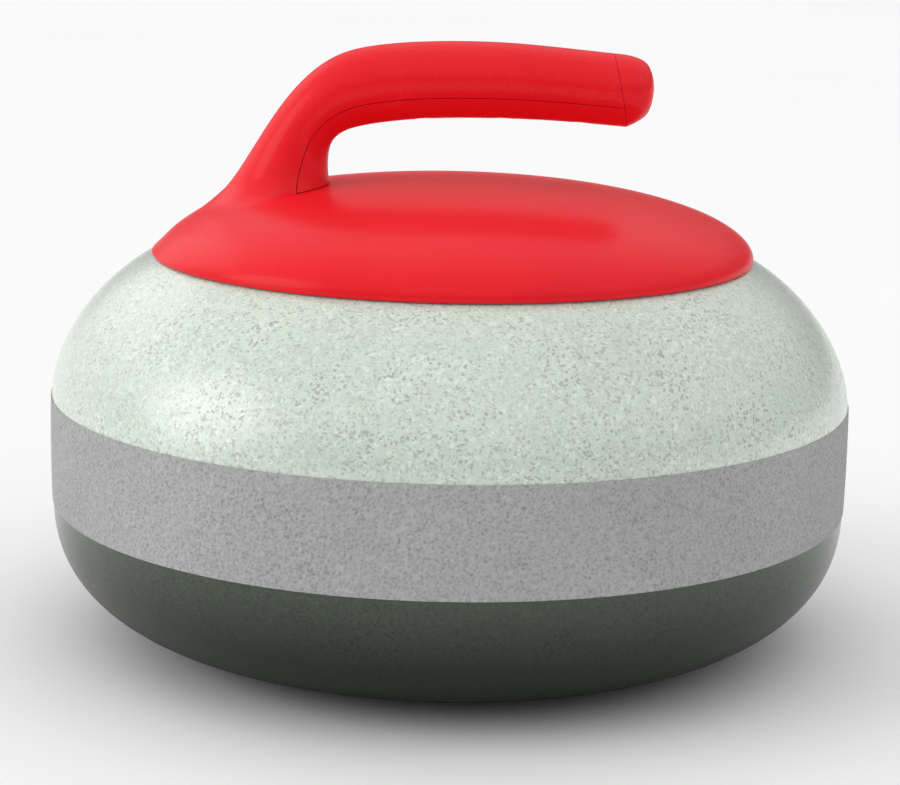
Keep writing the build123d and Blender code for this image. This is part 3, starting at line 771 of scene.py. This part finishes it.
def rim_points(edge):
    """The cover's lip below the dome's edge, its seat over the gasket, and the hollow's mouth."""
    round_xy = edge[:, :2] / DOME_R
    foot = DOME_R - LIP_ROUND
    low = over_z(foot) + LIP_GAP
    rows = [np.column_stack((edge[:, :2], np.minimum(edge[:, 2], low + LIP_ROUND + 0.02)))]
    turns = np.linspace(0.25, 1.57, 5)
    profile = [(foot + LIP_ROUND * math.cos(a), low + LIP_ROUND * (1 - math.sin(a))) for a in turns]
    profile += [(LIP_IN + 0.1, over_z(LIP_IN) + LIP_GAP), (LIP_IN, over_z(LIP_IN) + LIP_GAP + 0.1)]
    profile += [(r, over_z(r) + GASKET_T) for r in np.linspace(LIP_IN, HOLLOW_R + 0.4, 7)]
    profile += [(HOLLOW_R, over_z(HOLLOW_R) + GASKET_T + 0.4)]
    rows += [np.column_stack((round_xy * r, np.full(len(edge), z))) for r, z in profile]
    return np.array(rows)


def make_handle_shell(material):
    """The cover, gooseneck and upper side of the grip as one hollow moulding."""
    turn, around = parting_angle(), 224
    upper_count = int(around * turn / math.pi) // 2 * 2
    seam_turn = turn - SEAM_TURN
    upper = np.linspace(-seam_turn, seam_turn, upper_count + 1)
    under = np.linspace(seam_turn, 2 * math.pi - seam_turn, around - upper_count + 1)[1:-1]
    angle = np.concatenate((upper, under))
    inner_turn = parting_angle(SHELL_WALL) - INNER_SEAM_TURN
    squeeze = inner_turn / seam_turn
    inner_under = np.linspace(inner_turn, 2 * math.pi - inner_turn, around - upper_count + 1)[1:-1]
    inner_angle = np.concatenate((upper * squeeze, inner_under))

    t_out = crossing(angle, 0.0, cover_z)
    t_in_high = crossing(inner_angle, SHELL_WALL, cover_z)
    t_in_low = crossing(inner_angle, SHELL_WALL, hollow_z)

    near = 0.12  # the dome's rows are closest together this far out, where the fillet is
    far_steps = near + (1 - near) * np.sin(np.linspace(0, math.pi / 2, 46))[1:] ** 0.8
    out_steps = np.concatenate((np.linspace(0, near, 14), far_steps))
    out_steps[-1] = 1.0
    first = TUBE(t_out, angle)
    dome_rows = over_dome(first, DOME_R, out_steps, cover_z)
    climb = np.concatenate((np.linspace(0, 0.07, 16), np.linspace(0.07, 1, 116)[1:]))[:, None]
    n_up = len(upper)
    tube_rows = TUBE(t_out[None, :n_up] + (1 - t_out[None, :n_up]) * climb, angle[None, :n_up])
    turned = np.abs(upper) / seam_turn
    fade = np.clip((turned - FAIRING_FADE) / (1 - FAIRING_FADE), 0, 1)
    reach = FAIRING * (1 - fade**2) * np.where(turned > 0.999, 0, 1)
    dome_up, tube_rows = fair(dome_rows[:, :n_up], tube_rows, reach)
    dome_rows = np.concatenate((dome_up, dome_rows[:, n_up:]), axis=1)

    inner_climb = t_in_high[None, :n_up] + (1 - t_in_high[None, :n_up]) * climb
    inner_rows = TUBE(inner_climb, inner_angle[None, :n_up], SHELL_WALL)
    down = t_in_high + (t_in_low - t_in_high) * np.array((0, 0.35, 0.7, 1.0))[:, None]
    wall_rows = TUBE(down, inner_angle[None], SHELL_WALL)
    rim_rows = rim_points(dome_rows[-1])
    hollow_rows = over_dome(wall_rows[-1], HOLLOW_R, np.linspace(0, 1, 30), hollow_z)
    hollow_rows[-1, :, :2] = dome_rows[-1, :, :2] * HOLLOW_R / DOME_R

    build = Builder()
    outside = build.add(np.concatenate((dome_rows, rim_rows)))
    inside = build.add(np.concatenate((wall_rows, hollow_rows[1:])))
    build.skin(outside, wrap_columns=True)
    build.skin(inside, wrap_columns=True)
    build.skin(np.stack((outside[-1], inside[-1])), wrap_columns=True)
    under_columns = np.append(np.arange(n_up - 1, around), 0)
    build.skin(np.stack((outside[0, under_columns], inside[0, under_columns])))
    tube_index = build.add(tube_rows)
    tube_index[0] = outside[0, :n_up]
    inner_index = build.add(inner_rows)
    inner_index[0] = inside[0, :n_up]
    build.skin(tube_index)
    build.skin(inner_index)
    build.skin(np.stack((tube_index[-1], inner_index[-1])))
    for column in (0, n_up - 1):
        build.skin(np.stack((tube_index[:, column], inner_index[:, column])))
    shell = new_object("handle_moulding", build.points, build.faces, material)
    drop_loose(shell)
    soften_edges(shell, 0.22)
    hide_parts("handle_shell")
    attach(shell, "stone")


def drop_loose(obj):
    """Removes points that no face uses."""
    work = bmesh.new()
    work.from_mesh(obj.data)
    loose = [v for v in work.verts if not v.link_faces]
    bmesh.ops.delete(work, geom=loose, context="VERTS")
    work.to_mesh(obj.data)
    work.free()


def cylinder(x, z_low, z_high, radius, segments=64):
    """A closed cylinder along Z at y = 0, as a boolean tool."""
    work = bmesh.new()
    bmesh.ops.create_cone(
        work,
        cap_ends=True,
        segments=segments,
        radius1=radius * MM,
        radius2=radius * MM,
        depth=(z_high - z_low) * MM,
        matrix=Matrix.Translation((x * MM, 0, (z_low + z_high) / 2 * MM)),
    )
    mesh = bpy.data.meshes.new("tool")
    work.to_mesh(mesh)
    work.free()
    obj = bpy.data.objects.new("tool", mesh)
    bpy.context.scene.collection.objects.link(obj)
    return obj


def make_under_shell(material):
    """The grip's lower side and the neck's inner side, with three screw bosses."""
    turn = parting_angle() + SEAM_TURN
    inner_turn = parting_angle(SHELL_WALL) + INNER_SEAM_TURN
    angle = np.linspace(turn, 2 * math.pi - turn, 65)
    inner_angle = np.linspace(inner_turn, 2 * math.pi - inner_turn, 65)
    climb = np.linspace(0, 1, 132)[:, None]
    t_out = crossing(angle, 0.0, lambda x, y: cover_z(x, y) + 2 * SEAM)
    t_in = crossing(inner_angle, SHELL_WALL, lambda x, y: cover_z(x, y) + 2 * SEAM)
    build = Builder()
    outer = build.add(TUBE(t_out + (1 - t_out) * climb, angle[None]))
    inner = build.add(TUBE(t_in + (1 - t_in) * climb, inner_angle[None], SHELL_WALL))
    build.skin(outer)
    build.skin(inner)
    for edge in (0, -1):
        build.skin(np.stack((outer[edge], inner[edge])))
        build.skin(np.stack((outer[:, edge], inner[:, edge])))
    shell = new_object("grip_underside", build.points, build.faces, material)
    for x in GRIP_SCREW_X:
        boss = cylinder(x, GRIP_BOSS_LOW, CORE_UNDER, GRIP_BOSS_R)
        boolean(shell, boss, "UNION")
        well = cylinder(x, GRIP_BOSS_LOW - GRIP_WELL_BELOW, GRIP_SCREW_SEAT, GRIP_WELL_R)
        boolean(shell, well, "DIFFERENCE")
        hole = cylinder(x, GRIP_BOSS_LOW, CORE_UNDER + 1, GRIP_SHANK_R, 32)
        boolean(shell, hole, "DIFFERENCE")
    soften_edges(shell, 0.2)
    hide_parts("grip_under_shell")
    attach(shell, "stone")


def make_end_cap(material):
    """The blunt cap on the grip's end, with a plug inside the grip."""
    around = 96
    angle = np.arange(around) * 2 * math.pi / around
    gap = SEAM / 25  # the shut line, as a share of the way along the cap
    along = gap + (1 - gap) * np.linspace(0, 1, 40)[:, None]
    crown = np.concatenate((CAP(along, angle[None]), np.full((1, around, 3), CAP_TIP)))
    inset = SHELL_WALL + PLUG_FIT
    rings = [CAP(np.full(around, gap), angle, inset)]
    rings += [TUBE(np.full(around, t), angle, inset) for t in (0.99, 0.96)]
    plug = np.stack(rings)
    inner_end = np.broadcast_to(plug[-1].mean(0), (1, around, 3))
    build = Builder()
    crown = build.add(crown)
    plug = build.add(np.concatenate((plug, inner_end)))
    build.skin(crown, wrap_columns=True)
    build.skin(plug, wrap_columns=True)
    build.skin(np.stack((crown[0], plug[0])), wrap_columns=True)
    cap = new_object("grip_cap", build.points, build.faces, material)
    soften_edges(cap, 0.2, 60)
    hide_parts("grip_end_cap")
    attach(cap, "stone")


# ---- lights and floor ----------------------------------------------------------------------------
def sun(name, towards, spread, strength):
    """A soft distant light that shines from the direction given."""
    data = bpy.data.lights.new(name, "SUN")
    data.angle = math.radians(spread)
    data.energy = strength
    light = bpy.data.objects.new(name, data)
    bpy.context.scene.collection.objects.link(light)
    light.matrix_world = (-Vector(towards)).to_track_quat("-Z", "Y").to_matrix().to_4x4()


def make_studio():
    """A pale floor, a pale surround and a broad soft light from the left."""
    world = bpy.data.worlds.new("surround")
    bpy.context.scene.world = world
    world.use_nodes = True
    tree = world.node_tree
    background = tree.nodes["Background"]
    direction = tree.nodes.new("ShaderNodeTexCoord")
    split = tree.nodes.new("ShaderNodeSeparateXYZ")
    ramp = tree.nodes.new("ShaderNodeValToRGB")
    tree.links.new(direction.outputs["Generated"], split.inputs[0])
    tree.links.new(split.outputs["Z"], ramp.inputs["Fac"])
    seen = tree.nodes.new("ShaderNodeMix")  # the backdrop itself is as pale as the floor
    seen.data_type = "RGBA"
    path = tree.nodes.new("ShaderNodeLightPath")
    tree.links.new(path.outputs["Is Camera Ray"], seen.inputs["Factor"])
    tree.links.new(ramp.outputs["Color"], seen.inputs[6])
    seen.inputs[7].default_value = (BACKDROP, BACKDROP, BACKDROP, 1.0)
    tree.links.new(seen.outputs[2], background.inputs["Color"])
    elements = ramp.color_ramp.elements
    for position, _ in SKY[1:-1]:
        elements.new(position)
    for element, (_, level) in zip(elements, SKY):
        element.color = (level, level, level, 1.0)
    background.inputs["Strength"].default_value = SKY_STRENGTH
    for name, towards, spread, strength in SUNS:
        sun(name, towards, spread, strength)
    corners = [(x * FLOOR_HALF, y * FLOOR_HALF, 0) for x, y in ((-1, -1), (1, -1), (1, 1), (-1, 1))]
    new_object("floor", corners, [(0, 1, 2, 3)], floor_white())
    bpy.context.scene.view_settings.view_transform = "Standard"


# ---- what is shown -------------------------------------------------------------------------------
def dress_cad_nodes():
    """Gives each CAD node that stays its material."""
    steel = metal("plated_steel", (0.5, 0.5, 0.51), (0.68, 0.68, 0.69), 0.22, 0.2)
    brass = metal("insert_brass", (0.62, 0.42, 0.16), (0.8, 0.58, 0.27), 0.2, 0.2)
    alloy = metal("core_aluminium", (0.66, 0.67, 0.69), (0.8, 0.8, 0.82), 0.3, 0.2)
    black_rubber, nylon = rubber(), black_nylon()
    dress = {
        "bore_sleeve": white_nylon(),
        "cushion_washer": black_rubber,
        "friction_ring": black_rubber,
        "rim_gasket": black_rubber,
        "base_plate": nylon,
        "threaded_insert": brass,
        "handle_core": alloy,
    }
    dress |= dict.fromkeys(("plain_washer", "lock_washer", "through_bolt"), steel)
    dress |= dict.fromkeys(("cover_screws", "core_screws", "grip_screws"), steel)
    for node, material in dress.items():
        NODES[node].data.materials.clear()
        NODES[node].data.materials.append(material)


make_camera()
make_stone()
make_insert(granite_insert(), epoxy())
red = moulded_red()
make_handle_shell(red)
make_under_shell(red)
make_end_cap(red)
dress_cad_nodes()
make_studio()
